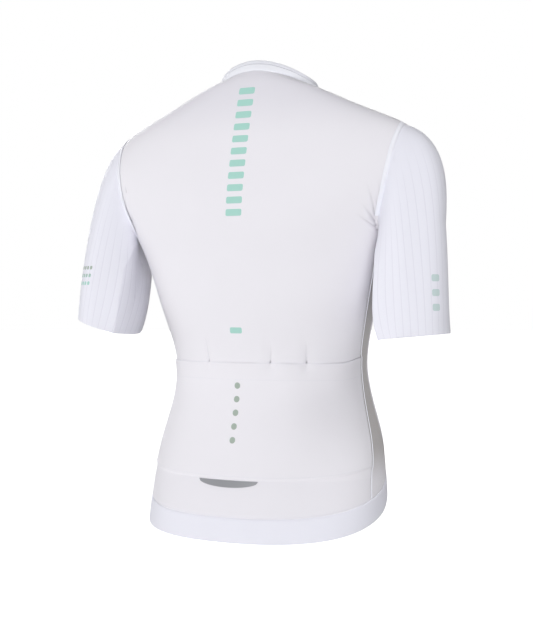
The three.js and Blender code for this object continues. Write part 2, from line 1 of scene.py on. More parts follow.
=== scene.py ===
# %% [markdown]
# # A short-sleeved cycling jersey, in the shape of the body that wears it
#
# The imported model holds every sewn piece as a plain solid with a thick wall. This lesson dresses
# it: each cloth solid is hidden and a thin, creased shell takes its place, the zip gets its teeth,
# and every finish is made from shader nodes. Lengths are in millimetres until a mesh is written.

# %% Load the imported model
import math

import bmesh
import bpy
import numpy as np
from mathutils import Matrix, Vector


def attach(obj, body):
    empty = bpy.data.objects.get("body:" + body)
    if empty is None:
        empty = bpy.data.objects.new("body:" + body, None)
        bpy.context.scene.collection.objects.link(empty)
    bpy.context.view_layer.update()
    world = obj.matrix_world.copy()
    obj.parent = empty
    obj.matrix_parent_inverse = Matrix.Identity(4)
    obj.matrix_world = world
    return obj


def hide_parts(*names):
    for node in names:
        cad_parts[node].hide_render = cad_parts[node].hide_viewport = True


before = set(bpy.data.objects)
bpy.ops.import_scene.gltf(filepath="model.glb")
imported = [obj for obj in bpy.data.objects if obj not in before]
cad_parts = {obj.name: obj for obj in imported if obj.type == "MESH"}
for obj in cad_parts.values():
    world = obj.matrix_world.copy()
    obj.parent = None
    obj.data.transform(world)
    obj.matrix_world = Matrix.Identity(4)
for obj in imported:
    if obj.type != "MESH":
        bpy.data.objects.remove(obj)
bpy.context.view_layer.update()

MM = 0.001

# %% [markdown]
# ## The camera
#
# The photograph was taken from behind the right shoulder: 1.9 m away, 28 degrees round from the
# back, looking down by one degree. The lens follows from its height of 636 pixels of 1.4 mm.

# %% The camera
VIEW_TURN, VIEW_DROP, VIEW_DISTANCE = math.radians(28), math.radians(1), 1900
PIXEL, PHOTO_HEIGHT, SENSOR = 1.40, 636, 36
AIM_SIDE, AIM_HEIGHT = -4.5 * PIXEL, -330

to_right = Vector((-math.cos(VIEW_TURN), -math.sin(VIEW_TURN), 0))
level = Vector((-math.sin(VIEW_TURN), math.cos(VIEW_TURN), 0))
to_camera = level * math.cos(VIEW_DROP) + Vector((0, 0, math.sin(VIEW_DROP)))
to_top = to_camera.cross(to_right)
aim = to_right * AIM_SIDE + Vector((0, 0, AIM_HEIGHT))

camera_data = bpy.data.cameras.new("camera")
camera_data.sensor_fit = "VERTICAL"
camera_data.sensor_height = SENSOR
camera_data.lens = SENSOR * VIEW_DISTANCE / PIXEL / PHOTO_HEIGHT
camera_data.dof.use_dof = False
camera = bpy.data.objects.new("camera", camera_data)
bpy.context.scene.collection.objects.link(camera)
turned = Matrix((to_right, to_top, to_camera)).transposed().to_4x4()
camera.matrix_world = Matrix.Translation((aim + to_camera * VIEW_DISTANCE) * MM) @ turned
bpy.context.scene.camera = camera

# %% [markdown]
# ## The body under the cloth
#
# A pattern cutter describes a body by its girths. Each row of this table is one horizontal
# section: its height at the side, half its width, its depth behind and in front, where its middle
# lies, how far it tilts and bows at the back and the front, and how square it is. A smooth curve
# through the rows gives the surface in between, so any place on the jersey is an angle and a row.
# Angle 0 is the wearer's left, 90 the back and 270 the front; row 0 is the hem and 12 the neck.

# %% The body's sections
TORSO = np.array([
    [-593, 170, 136, 106, 6, -43, 14, 50, 2.3],  # hem edge
    [-543, 166, 126, 106, 4, -33, 8, 42, 2.3],  # tail
    [-500, 159, 113, 108, 0, -9, 1, 46, 2.3],  # hip
    [-430, 141, 98, 106, -3, 0, 0, 25, 2.2],  # below the waist
    [-380, 140, 93, 102, 3, 0, 0, 5, 2.2],  # waist
    [-310, 159, 88, 110, 17, 0, 0, 0, 2.2],  # ribs
    [-250, 180, 84, 128, 22, 0, 0, 0, 2.2],  # chest
    [-205, 199, 83, 134, 25, 0, 0, 0, 2.4],  # under the arm
    [-160, 222, 77, 130, 27, 0, 0, 0, 2.7],  # middle of the armhole
    [-115, 231, 69, 117, 26, 0, 0, -8, 2.8],  # shoulder blade
    [-75, 213, 60, 100, 23, 2.5, 5.5, -16, 2.4],  # shoulder point
    [-46, 142, 49, 84, 17, 12.5, 22, -28, 2.1],  # shoulder slope
    [-20, 75, 48, 60, 6, 12, 16, -31, 2.0],  # neck seam
], float)
HEM_TOP, MOON_LOW, POCKET_LOW, POCKET_TOP, NECK = 0.6, 1.28, 1.46, 3.86, 12.0


def smooth(x):
    s = np.clip(x, 0, 1)
    return s * s * (3 - 2 * s)


def bell(x):
    """1 at 0, and nearly nothing beyond 2"""
    return np.exp(-(x**2))


def cos_sin(degrees):
    return np.cos(np.radians(degrees)), np.sin(np.radians(degrees))


def section(row):
    """The nine sizes of a section at any row, each as an array of the row's shape"""
    last = len(TORSO) - 1
    i = np.clip(np.floor(row).astype(int), 0, last - 1)
    f = (row - i)[..., None]
    b, c = TORSO[i], TORSO[i + 1]
    a = np.where((i > 0)[..., None], TORSO[np.maximum(i - 1, 0)], 2 * b - c)
    d = np.where((i < last - 1)[..., None], TORSO[np.minimum(i + 2, last)], 2 * c - b)
    sizes = b + 0.5 * ((c - a) * f + (2 * a - 5 * b + 4 * c - d) * f**2 + (3 * b - a - 3 * c + d) * f**3)
    return np.moveaxis(sizes, -1, 0)


def body(angle, row):
    """Points on the plain body, in millimetres"""
    angle, row = np.broadcast_arrays(angle, row)
    z, half, back, front, middle, tilt, bow_back, bow_front, square = section(row)
    cos, sin = cos_sin(angle)
    depth = np.where(sin > 0, back, front)
    bow = np.where(sin > 0, bow_back, bow_front)
    radius = ((abs(cos) / half) ** square + (abs(sin) / depth) ** square) ** (-1 / square)
    across = radius * sin / depth
    return np.stack([radius * cos, middle + radius * sin, z + tilt * across + bow * across**2], -1)


def unit(vectors):
    return vectors / np.maximum(np.linalg.norm(vectors, axis=-1, keepdims=True), 1e-9)


def normal_of(surface, a, b, step_a, step_b):
    along_a = surface(a + step_a, b) - surface(a - step_a, b)
    along_b = surface(a, b + step_b) - surface(a, b - step_b)
    return unit(np.cross(along_a, along_b))


def body_normal(angle, row):
    return normal_of(body, angle, row, 0.2, 0.01)


def skin(angle, row):
    """Points on the plain body and the way out of it"""
    return body(angle, row), body_normal(angle, row)


for name, row in (("hem", 0.0), ("waist", 4.0), ("chest", 6.5)):
    ring = body(np.linspace(0, 360, 181), row)
    print(name, "girth", round(float(np.linalg.norm(np.diff(ring, axis=0), axis=1).sum())), "mm")

# %% [markdown]
# ## The armhole and the sleeve
#
# The armhole is an oval on the body. Its places are counted in degrees too: 0 on the shoulder, 90
# behind the arm, 180 under it and 270 in front. The cuff is a second oval, turned up a little, and
# the sleeve is a bundle of curves from the one to the other. Each curve is a Hermite curve, which
# leaves the armhole and reaches the cuff in directions that are given.

# %% Armhole and sleeve
ARM_LOW, ARM_TOP, ARM_BACK, ARM_FRONT, ARM_SKEW, ARM_SQUARE = 6.75, 10.0, 12.2, 15.0, -0.1, 0.42
RING = 32
SIDE_BACK, SIDE_FRONT = 14 * 360 / RING, 18 * 360 / RING
SIDE_BACK_AT_HEM, SIDE_FRONT_AT_HEM, SIDE_DIP, SIDE_DIP_POWER = 8.5, -16.0, 7.5, 1.5
CUFF = dict(x=237, y=51, half_width=44, half_depth=52)
HANG = {"left": dict(z=-341, outwards=17), "right": dict(z=-351, outwards=5.5)}
SLEEVE = np.array([
    # out, back, down, reach, end out, end reach
    [0.92, 0.05, -0.40, 0.72, 0.06, 0.95],  # over the shoulder
    [0.45, 0.30, -0.80, 0.55, 0.05, 0.80],  # behind the arm
    [0.02, 0.15, -0.98, 0.75, 0.45, 1.10],  # under the arm
    [0.50, -0.20, -0.85, 0.55, 0.50, 0.80],  # before the arm
])
CAP_TURN, CAP_HEIGHT, CAP_SPREAD, CAP_REACH = 325, 8, 75, 0.55
CREASE_TURN, CREASE_HEIGHT, CREASE_SPREAD, CREASE_REACH, CREASE_SWELL = 35.5, 6.5, 40, 0.62, 0.8
CREASE_PATH = [(0.0, 168), (0.2, 152), (0.45, 142), (0.7, 151), (1.0, 170)]
SLEEVE_GIRTH, SLEEVE_LENGTH = 330, 260


def armhole_place(turn):
    cos, sin = cos_sin(turn)
    half = np.where(sin >= 0, ARM_BACK, ARM_FRONT)
    across = np.where((sin > 0) & (cos < 0), np.maximum(sin, 0) ** ARM_SQUARE, sin)
    row = (ARM_LOW + ARM_TOP) / 2 + (ARM_TOP - ARM_LOW) / 2 * cos
    return half * across * (1 + ARM_SKEW * cos), row


def armhole_point(turn):
    return body(*armhole_place(turn))


def armhole_edge(turn):
    """The cloth's normal on the armhole, the way along its edge and the way into the panels"""
    normal = body_normal(*armhole_place(turn))
    edge = unit(armhole_point(turn + 1) - armhole_point(turn - 1))
    return normal, edge, unit(np.cross(normal, edge))


def sleeve(turn, along, side):
    """Points on the plain sleeve: along runs from 0 at the armhole to 1 at the cuff"""
    turn, along = np.broadcast_arrays(turn, along)
    hump = np.sin(np.radians(np.mod(turn, 360) / 2)) ** 2
    cos, sin = cos_sin(turn - CREASE_TURN * along * hump)
    out_cos, out_sin = cos_sin(HANG[side]["outwards"])
    width, depth = CUFF["half_width"] * cos, CUFF["half_depth"] * sin
    end = np.stack([CUFF["x"] + width * out_cos, CUFF["y"] + depth, HANG[side]["z"] + width * out_sin], -1)
    start = armhole_point(turn)
    cos, sin = cos_sin(turn)
    parts = np.maximum(np.stack([cos, sin, -cos, -sin], -1), 0) ** 2
    leave_out, leave_back, leave_down, reach, end_out, end_reach = np.moveaxis(parts @ SLEEVE, -1, 0)
    length = np.linalg.norm(end - start, axis=-1)
    leave = np.stack([leave_out, leave_back, leave_down], -1) * (length * reach)[..., None]
    arrive = np.stack([end_out, 0.03 + 0 * end_out, -1 + 0 * end_out], -1) * (length * end_reach)[..., None]
    v = along[..., None]
    return (start * (2 * v**3 - 3 * v**2 + 1) + leave * (v**3 - 2 * v**2 + v)
            + end * (3 * v**2 - 2 * v**3) + arrive * (v**3 - v**2))


def sleeve_normal(turn, along, side):
    return -normal_of(lambda a, b: sleeve(a, b, side), turn, along, 1.0, 0.005)


print("armhole", *([round(float(x)) for x in armhole_point(turn)] for turn in (0.0, 180.0)))

# %% [markdown]
# ## Creases
#
# Cloth that is pulled tight folds in narrow valleys that start where it is held and die away. Each
# row here is one such valley: where it starts and ends, as angles and rows, its width and its
# depth. They were set one by one, so no two are alike, and the hidden side has its own. The large
# ones are in the solids too. A fine one has a ridge beside it, and shade is painted into the colour
# inside it, where light can't reach a narrow fold. The foot of each tuck and a few spots under the
# arms get the same painted shade.

# %% Creases, tucks and gathers
LARGE_CREASES = [
    # angle, row, to angle, to row, width, depth
    (9, 6.95, 19, 7.35, 6, 1.6),
    (9.5, 7.0, 17.5, 7.75, 6, 2.2),
    (10, 7.1, 14.5, 8.4, 5, 1.8),
    (171, 6.95, 161, 7.45, 6, 1.8),
    (170.5, 7.0, 162.5, 7.66, 6, 2.4),
    (170, 7.1, 164, 8.34, 5, 2.0),
    (-12, 7.0, -27, 7.4, 7, 1.8),
    (-12, 7.1, -23, 7.9, 7, 2.2),
    (192, 7.0, 207, 7.5, 7, 2.0),
    (192, 7.1, 202, 7.8, 7, 1.8),
]
FINE_CREASES = [
    # angle, row, to angle, to row, width, depth, ridge beside it, painted shade in it
    (167.6, 7.22, 162.5, 8.35, 1.5, 1.4, 0.5, 0.45),
    (168.8, 7.02, 161.5, 7.65, 1.5, 1.5, 0.5, 0.55),
    (169.8, 6.86, 160, 7.35, 1.6, 1.4, 0.5, 0.5),
    (168.2, 7.50, 165.5, 8.35, 1.3, 1.1, 0.5, 0.4),
    (167.6, 7.80, 167.0, 8.40, 1.2, 0.8, 0.4, 0.3),
    (169.6, 6.92, 168.4, 6.95, 1.5, 2.0, 0, 0.9),
    (170.6, 6.80, 168.6, 6.80, 1.5, 1.8, 0, 0.8),
    (171.2, 6.72, 170.0, 6.66, 1.4, 1.6, 0, 0.8),
    (11.8, 7.30, 15.2, 8.52, 1.5, 1.1, -0.5, 0.3),
    (11.2, 7.10, 16.4, 7.62, 1.5, 1.2, -0.5, 0.35),
    (10.2, 6.90, 17.0, 7.25, 1.6, 1.2, -0.4, 0.35),
    (15.6, 8.16, 15.4, 8.42, 1.3, 1.1, 0.3, 0.6),
    (9.6, 6.84, 14.0, 6.90, 1.5, 1.3, 0.3, 0.4),
    (-13, 6.9, -22, 6.85, 2.0, 0.9, 0.4, 0.2),
    (-13.5, 7.5, -20, 8.6, 2.0, 0.9, 0.4, 0.2),
    (193, 6.9, 203, 6.95, 2.0, 0.9, -0.4, 0.2),
    (194, 7.6, 199, 8.5, 2.0, 0.9, -0.4, 0.2),
]
TUCK_X = [49, -46, -93]
TUCK_RISE, TUCK_WIDTH, TUCK_DEPTH = 0.78, 7, 2.6
FOLD_REACH = 30  # what lies deeper than this is the other side of the body
CREST_AT, PAINTED_SHADE_WIDTH = 2.2, 0.7  # in widths of the crease


def back_angle_at(x, row):
    """The angle at which a row of the back stands at a distance from the middle"""
    angles = np.linspace(20, 160, 1401)
    return float(np.interp(-x, -body(angles, row)[:, 0], angles))


tuck_angles = [back_angle_at(x, POCKET_TOP) for x in TUCK_X]
tucks = [(a, POCKET_TOP - 0.1, a, POCKET_TOP + TUCK_RISE, TUCK_WIDTH, TUCK_DEPTH, 0, 0) for a in tuck_angles]
tuck_lines = [
    (a, POCKET_TOP - 0.02, a + lean, POCKET_TOP + rise, 1.3, 1.3, 0.6, 0.28)
    for a, lean, rise in zip(tuck_angles, (-2.0, 2.5, 0.8), (0.62, 0.48, 0.55))
]
# A tuck's foot is a small pit with painted shade in it
tuck_feet = [(a, POCKET_TOP, a, POCKET_TOP + 0.035, 1.3, 1.6, 0, 1.0) for a in tuck_angles]


def lines_of(rows):
    """The two ends of each crease on the body, and its sizes"""
    return [(body(a, r), body(to_a, to_r), *sizes) for a, r, to_a, to_r, *sizes in rows]


creases = lines_of([(*row, 0, 0) for row in LARGE_CREASES] + tucks + FINE_CREASES + tuck_lines + tuck_feet)


def sunk(places, normals, chosen=creases):
    """How far creases take the cloth in, in millimetres, and how much shade is painted in them"""
    depth, painted_shade = np.zeros(places.shape[:-1]), np.zeros(places.shape[:-1])
    for start, end, width, deep, ridge, painted_darkness in chosen:
        line = end - start
        part = np.clip((places - start) @ line / (line @ line), 0, 1)
        off = places - start - part[..., None] * line
        away = (off * normals).sum(-1, keepdims=True)
        off = off - normals * away
        beside = (off * unit(np.cross(line, normals))).sum(-1)
        rest = (off**2).sum(-1) - beside**2
        fade = (1 - smooth(part * 1.05)) * (abs(away[..., 0]) < FOLD_REACH)
        valley = np.exp(-(beside**2 + rest) / width**2)
        crest_off = beside - math.copysign(CREST_AT * width, ridge)
        crest = abs(ridge) * np.exp(-(crest_off**2 + rest) / width**2)
        depth += deep * fade * (valley - crest)
        painted_shade += painted_darkness * fade * np.exp(-(beside**2 + rest) / (PAINTED_SHADE_WIDTH * width) ** 2)
    return depth, np.clip(painted_shade, 0, 1)


# %% [markdown]
# ## From a flat grid to a sewn piece
#
# Every piece here starts as a flat grid with UVs, as sewn pieces start as flat cloth, and is then
# shaped vertex by vertex. Its columns and rows may lie closer together at the edges, where a seam
# rolls the cloth in. The UVs are in millimetres of cloth, so the knit has one size on all pieces.
# bmesh's solidify gives the wall, and the rim is marked sharp.

# %% Shaping a sheet
CLOTH = 0.8
SEAM_ROLL, SEAM_SINK = 1.6, 0.7


def evenly(count, near=()):
    """Parts from 0 to 1: count equal ones, with a few more near both ends"""
    near = np.asarray(near, float)
    return np.unique(np.round(np.concatenate([np.linspace(0, 1, count + 1), near, 1 - near]), 6))


def keep(name, bm):
    """Writes a bmesh as an object at the origin, smooth apart from its sharp rims"""
    mesh = bpy.data.meshes.new(name)
    bm.to_mesh(mesh)
    bm.free()
    mesh.polygons.foreach_set("use_smooth", [True] * len(mesh.polygons))
    mesh.set_sharp_from_angle(angle=math.radians(50))
    piece = bpy.data.objects.new(name, mesh)
    bpy.context.scene.collection.objects.link(piece)
    return piece


def cut_places(places):
    """Where each place of a grid lies on the flat cloth, across and along, in millimetres"""
    widths = np.linalg.norm(np.diff(places, axis=1), axis=2).mean(0)
    heights = np.linalg.norm(np.diff(places, axis=0), axis=2).mean(1)
    across = np.concatenate([[0], np.cumsum(widths)])
    along = np.concatenate([[0], np.cumsum(heights)])
    return np.stack(np.meshgrid(across, along), -1)


def shape_sheet(name, places, normals, thickness=CLOTH, closed=False, painted_shade=None, cut=None):
    """A grid of places, rows by columns, as a sheet with its wall inwards"""
    rows, columns = places.shape[:2]
    cut = cut_places(places) if cut is None else cut
    bm = bmesh.new()
    uv = bm.loops.layers.uv.new("cloth")
    # A layer for the shade that is painted into the colour
    painted_darkness = bm.verts.layers.float.new("painted_shade")
    inside = bm.verts.layers.float.new("inside")
    bmesh.ops.create_grid(bm, x_segments=columns - 1, y_segments=rows - 1, size=0.5, calc_uvs=True)
    grid = [(vert, round((vert.co.y + 0.5) * (rows - 1)), round((vert.co.x + 0.5) * (columns - 1)))
            for vert in bm.verts]
    for vert, r, c in grid:
        vert.co = places[r, c] * MM
        vert[painted_darkness] = 0 if painted_shade is None else float(painted_shade[r, c])
        for loop in vert.link_loops:
            loop[uv].uv = cut[r, c]
    bm.normal_update()
    if sum(vert.normal.dot(Vector(normals[r, c])) for vert, r, c in grid[::97]) < 0:
        bmesh.ops.reverse_faces(bm, faces=bm.faces)
    if closed:
        bmesh.ops.remove_doubles(bm, verts=bm.verts, dist=1e-6)
    bm.normal_update()
    inner = bmesh.ops.solidify(bm, geom=bm.faces[:], thickness=thickness * MM)["geom"]
    for vert in inner:
        if isinstance(vert, bmesh.types.BMVert):
            vert[inside] = 1
    return keep(name, bm)


def mirrored(places, normals):
    """The same piece on the wearer's right"""
    flip = np.array([-1, 1, 1])
    return places[:, ::-1] * flip, normals[:, ::-1] * flip


def shape_pair(name, places, normals, painted_shade=None, **how):
    """A piece on the wearer's left and its mirror image on the right"""
    turned = None if painted_shade is None else painted_shade[:, ::-1]
    return (shape_sheet(name + "_left", places, normals, painted_shade=painted_shade, **how),
            shape_sheet(name + "_right", *mirrored(places, normals), painted_shade=turned, **how))


def length_along(line):
    """How far each place of a line is from its start"""
    return np.concatenate([[0], np.cumsum(np.linalg.norm(np.diff(line, axis=0), axis=1))])


def spread(start, stop, row, parts):
    """Angles that divide one row of the body at parts of its length"""
    angles = np.linspace(start, stop, 241)
    lengths = length_along(body(angles, row))
    return np.interp(np.asarray(parts) * lengths[-1], lengths, angles)


def spread_rows(starts, stops, rows, parts):
    """Angles and rows of a grid, each row of it divided between two angles"""
    return np.stack([spread(a, b, r, parts) for a, b, r in zip(starts, stops, rows)]), rows[:, None]


# %% [markdown]
# ## The panels of the body
#
# The back is cut in one piece from hem to collar, and the fronts meet it along the shoulders and
# beside a narrow side panel. A panel's rows follow its edge up the side seam, round the armhole and
# along the shoulder. A seam pulls both edges in by less than a millimetre, which draws the groove.

# %% Back, fronts and sides
SIDE_TOP = float(armhole_place(SIDE_BACK)[1])


def side_dip(up):
    """How far the side panel's rear edge swings forward at the waist, in degrees"""
    return SIDE_DIP * np.maximum(np.sin(np.pi * np.clip(up, 0, 1)), 0) ** SIDE_DIP_POWER


def side_angle(on_back, row):
    top = float(armhole_place(SIDE_BACK if on_back else SIDE_FRONT)[0])
    up = (row - HEM_TOP) / (SIDE_TOP - HEM_TOP)
    low = SIDE_BACK_AT_HEM if on_back else SIDE_FRONT_AT_HEM
    return low + (top - low) * up - (side_dip(up) if on_back else 0)


def panel_edge(on_back, low=130, arm=58, high=22):
    """Angle and row of each place on a panel's left edge, from the hem to the neck"""
    parts = evenly(low, (0.002, 0.005))
    rows = HEM_TOP + (SIDE_TOP - HEM_TOP) * parts[parts < 0.997]
    first, last = (SIDE_BACK, 0) if on_back else (SIDE_FRONT, 360)
    turns = np.linspace(first, last, arm + 1)
    arm_angles, arm_rows = armhole_place(turns)
    shoulder = ARM_TOP + (NECK - ARM_TOP) * evenly(high, (0.975, 0.99))[1:]
    angles = np.concatenate([side_angle(on_back, rows), arm_angles, 0 * shoulder])
    return angles, np.concatenate([rows, arm_rows, shoulder])


def edge_distance(places):
    """Distance of each place of a grid from the nearest edge of the piece, roughly"""
    across = np.linalg.norm(np.diff(places, axis=1), axis=2)
    along = np.linalg.norm(np.diff(places, axis=0), axis=2)
    left = np.concatenate([np.zeros((len(places), 1)), np.cumsum(across, 1)], 1)
    low = np.concatenate([np.zeros((1, places.shape[1])), np.cumsum(along, 0)], 0)
    return np.minimum(np.minimum(left, left[:, -1:] - left), np.minimum(low, low[-1:] - low))


def creased(angles, rows):
    """Places of a panel with its creases, the way out of the cloth, and the shade painted in it"""
    places, normals = skin(angles, rows)
    near = edge_distance(places)
    depth, painted_shade = sunk(places, normals)
    depth = depth * smooth(near / 4 + 0.25) + SEAM_SINK * bell(near / SEAM_ROLL)
    return places - normals * depth[..., None], normals, painted_shade


# The columns of the back lie closer together near the sides and beside each tuck
SEAM_NEAR, TUCK_NEAR, SIDE_NEAR, CLOSEST = (0.0015, 0.004, 0.008), 0.014, 0.1, 0.0008
pocket_edge = float(side_angle(True, POCKET_TOP))
many = np.linspace(0, 1, 801)
tuck_parts = np.sort(np.interp(tuck_angles, spread(pocket_edge, 180 - pocket_edge, POCKET_TOP, many), many))
back_parts = np.unique(np.round(np.concatenate([
    evenly(84, SEAM_NEAR), np.linspace(0, SIDE_NEAR, 42), np.linspace(1 - SIDE_NEAR, 1, 42),
    *(part + np.linspace(-TUCK_NEAR, TUCK_NEAR, 11) for part in tuck_parts),
]), 5))
BACK_PARTS = back_parts[np.concatenate([[True], np.diff(back_parts) > CLOSEST])]
BACK_PARTS[-1] = 1
edge_angles, edge_rows = panel_edge(True, 96, 92, 22)
back_angles, back_rows = spread_rows(edge_angles, 180 - edge_angles, edge_rows, BACK_PARTS)
back_places, back_normals, back_painted_shade = creased(back_angles, back_rows)

# A painted soft shadow beside the side seam, under the arm
SHADOW_DARK, SHADOW_WIDTH, SHADOW_FROM, SHADOW_RISE = 0.3, 3.2, 4.6, 1.2
from_side = 90 - abs(90 - back_angles) - back_angles[:, :1]
under_arm = smooth((back_rows - SHADOW_FROM) / SHADOW_RISE) * smooth((ARM_LOW + 0.6 - back_rows) / 0.5)
back_painted_shade = np.maximum(back_painted_shade, SHADOW_DARK * under_arm * bell(from_side / SHADOW_WIDTH))
back = shape_sheet("back_cloth", back_places, back_normals, painted_shade=back_painted_shade)

ZIP_OPENING = 6


def zip_angle(row):
    return -90 + np.degrees(np.arctan2(ZIP_OPENING, section(np.asarray(row, float))[3]))


FRONT_PARTS = evenly(84, (0.003, 0.008, 0.016))
edge_angles, edge_rows = panel_edge(False)
front_grid = spread_rows(edge_angles, zip_angle(edge_rows), edge_rows, FRONT_PARTS)
front_left, front_right = shape_pair("front_cloth", *creased(*front_grid))

side_share = evenly(20, (0.02, 0.05))[None, :]
side_up = evenly(130, (0.002, 0.005))[:, None]
side_turn = SIDE_BACK + (SIDE_FRONT - SIDE_BACK) * side_share
top_angle, top_row = armhole_place(side_turn)
hem_rear = float(side_angle(True, HEM_TOP))
hem_angle = hem_rear + (SIDE_FRONT_AT_HEM - hem_rear) * side_share
side_angles = hem_angle + (top_angle - hem_angle) * side_up - side_dip(side_up) * (1 - side_share)
side_rows = HEM_TOP + (top_row - HEM_TOP) * side_up
side_left, side_right = shape_pair("side_cloth", *creased(side_angles, side_rows)[:2])

# %% [markdown]
# ## The sleeves
#
# A race sleeve is one piece of ribbed knit, closed by a seam under the arm. Its grid starts and
# ends at that seam and its doubles are merged there. One sharp crease runs down from the side
# panel, where the worn sleeve hangs, and a few soft drag lines leave the armhole.

# %% Sleeves
SLEEVE_FOLDS = [
    # turn, along, to turn, to along, width in degrees, depth
    (150, 0.0, 140, 0.10, 4, 0.8),
    (160, 0.0, 152, 0.14, 4, 1.0),
    (170, 0.0, 163, 0.12, 4, 0.9),
    (182, 0.0, 176, 0.13, 4, 0.9),
    (194, 0.0, 192, 0.10, 4, 0.8),
    (96, 0.0, 84, 0.12, 4, 0.8),
    (212, 0.0, 216, 0.12, 5, 0.8),
    (60, 0.0, 52, 0.07, 4, 0.5),
]
UNDER_TAPE = 1.5  # how far the tape's ridge lifts the sleeve's edge


def sleeve_places(turns, lengths, side):
    turn, along = np.meshgrid(turns, lengths)
    normal = sleeve_normal(turn, along, side)
    crease_turn = np.interp(along, *zip(*CREASE_PATH))
    round_arm = np.mod(turn, 360)
    off = abs(round_arm - crease_turn) / CREASE_SPREAD
    swell = np.maximum(np.sin(np.pi * along * CREASE_REACH), 0) ** CREASE_SWELL
    lift = CREASE_HEIGHT * np.maximum(1 - off, 0) ** 2 * swell
    beside = abs(np.mod(turn - CAP_TURN + 180, 360) - 180) / CAP_SPREAD
    lift = lift + CAP_HEIGHT * smooth(1 - beside) * np.sin(np.pi * np.minimum(along / CAP_REACH, 1))
    for start, low, stop, high, width, deep in SLEEVE_FOLDS:
        part = np.clip((along - low) / (high - low), 0, 1)
        line = start + (stop - start) * part
        away = (np.mod(turn - line + 180, 360) - 180) / width
        lift = lift - deep * (1 - smooth(part)) * smooth(along * 25) * bell(away)
    plain = sleeve(turn, along, side)
    roll = np.linalg.norm(plain - plain[:1], axis=-1)
    taped = smooth((round_arm - 4) / 14) * (1 - smooth((round_arm - 165) / 14))
    lift = lift + (UNDER_TAPE * taped - SEAM_SINK) * bell(roll / SEAM_ROLL)
    hump = np.sin(np.radians(round_arm / 2)) ** 2
    straight = (turn - CREASE_TURN * along * hump) * SLEEVE_GIRTH / 360
    return plain + normal * lift[..., None], normal, np.stack([straight, along * SLEEVE_LENGTH], -1)


sleeve_turns = np.concatenate([np.linspace(180, 485, 118), np.linspace(485, 540, 56)[1:]])
sleeve_lengths = evenly(90, (0.004, 0.009))
*arm, arm_cut = sleeve_places(sleeve_turns, sleeve_lengths, "left")
sleeve_left = shape_sheet("sleeve_cloth_left", *arm, closed=True, cut=arm_cut)
*arm, arm_cut = sleeve_places(sleeve_turns, sleeve_lengths, "right")
sleeve_right = shape_sheet("sleeve_cloth_right", *mirrored(*arm), closed=True, cut=arm_cut[:, ::-1])

# %% [markdown]
# ## The pocket panel
#
# The three rear pockets are one wide panel that is sewn on at its foot and sides. It is made from
# the back's own places, moved out, so it lies on the back all over. Its top edge is a folded
# elastic hem that stands off the back a little between the tucks that hold it.

# %% Pocket panel and reflective tab
GAP = 0.3
POCKET_WALL, POCKET_SAG, POCKET_CORNER, POCKET_HEIGHT, TRIM_WALL = 1.2, 1.6, 0.12, 150, 0.8
MOON_HALF_WIDTH, MOON_END, MOON_BELOW = 44, 0.06, 0.02

pocket_share = evenly(72, (0.002, 0.006, 0.012))
pocket_rows = POCKET_LOW + (POCKET_TOP - POCKET_LOW) * pocket_share
pocket_start = side_angle(True, pocket_rows)
pocket_angles, _ = spread_rows(pocket_start, 180 - pocket_start, pocket_rows, BACK_PARTS)
tuck_ends = np.concatenate([[0], tuck_parts, [1]])
tuck_index = np.clip(np.searchsorted(tuck_ends, BACK_PARTS), 1, len(tuck_ends) - 1)
between = (BACK_PARTS - tuck_ends[tuck_index - 1]) / (tuck_ends[tuck_index] - tuck_ends[tuck_index - 1])
off_middle = abs(BACK_PARTS - 0.5)
pocket_top = POCKET_TOP + POCKET_CORNER * smooth((off_middle - 0.38) / 0.12)
pocket_grid_rows = POCKET_LOW + (pocket_top[None, :] - POCKET_LOW) * pocket_share[:, None]
pocket_base, pocket_normals = skin(pocket_angles, pocket_grid_rows)
open_mm = POCKET_SAG * smooth(pocket_share**1.5)[:, None] * np.sin(np.pi * between)[None, :] ** 2
pocket_sunk, pocket_painted_shade = sunk(pocket_base, pocket_normals, lines_of(tucks + tuck_feet))
# Painted shadow inside the pocket's mouth, at its two outer ends
mouth_painted_shadow = smooth((off_middle - 0.40) / 0.08)[None, :] * bell((1 - pocket_share) * POCKET_HEIGHT)[:, None]
pocket_painted_shade = np.maximum(pocket_painted_shade, mouth_painted_shadow)
lift = GAP + POCKET_WALL + open_mm - pocket_sunk - 0.9 * bell(edge_distance(pocket_base) / 1.5)
pocket_face = pocket_base + pocket_normals * lift[..., None]
pocket = shape_sheet("pocket_cloth", pocket_face, pocket_normals, thickness=1.0, painted_shade=pocket_painted_shade)

moon_across = 1 - 2 * evenly(40)
moon_top = POCKET_LOW - MOON_BELOW
moon_depth = MOON_END + (1 - MOON_END) * np.sqrt(1 - moon_across**2)
moon_angles = np.array([back_angle_at(x * MOON_HALF_WIDTH, POCKET_LOW) for x in moon_across])
moon_down = evenly(8)[::-1, None]
moon_rows = moon_top - (moon_top - MOON_LOW) * moon_depth[None, :] * moon_down
moon_base, moon_normals = skin(moon_angles, moon_rows)
moon = shape_sheet("reflective_moon", moon_base + moon_normals * (GAP + TRIM_WALL), moon_normals, thickness=0.6)

# %% [markdown]
# ## The tape behind the arm
#
# A narrow bonded tape follows the armhole seam from the shoulder to under the arm. Its two long
# edges are pressed down flat.

# %% Armhole tape
tape_turns = np.linspace(360 / RING, 12 * 360 / RING, 120)
tape_normal, _, tape_in = armhole_edge(tape_turns)
tape_across = np.array([0.5, 0.9, 2.0, 3.3, 4.6, 5.6, 6.0])
tape_rise = GAP + TRIM_WALL * np.array([0.35, 0.85, 1, 1, 1, 0.85, 0.35])
tape_places = (armhole_point(tape_turns)[None] + tape_in[None] * tape_across[:, None, None]
               + tape_normal[None] * tape_rise[:, None, None])
tape_normals = np.repeat(tape_normal[None], len(tape_across), 0)
tape_left, tape_right = shape_pair("armhole_tape", tape_places, tape_normals, thickness=0.4)

# %% [markdown]
# ## Piping and stitches
#
# A thin bright piping runs up each side seam, on the side panel's edge. Topstitching holds the
# seams down: one short rod of thread is repeated along every line.

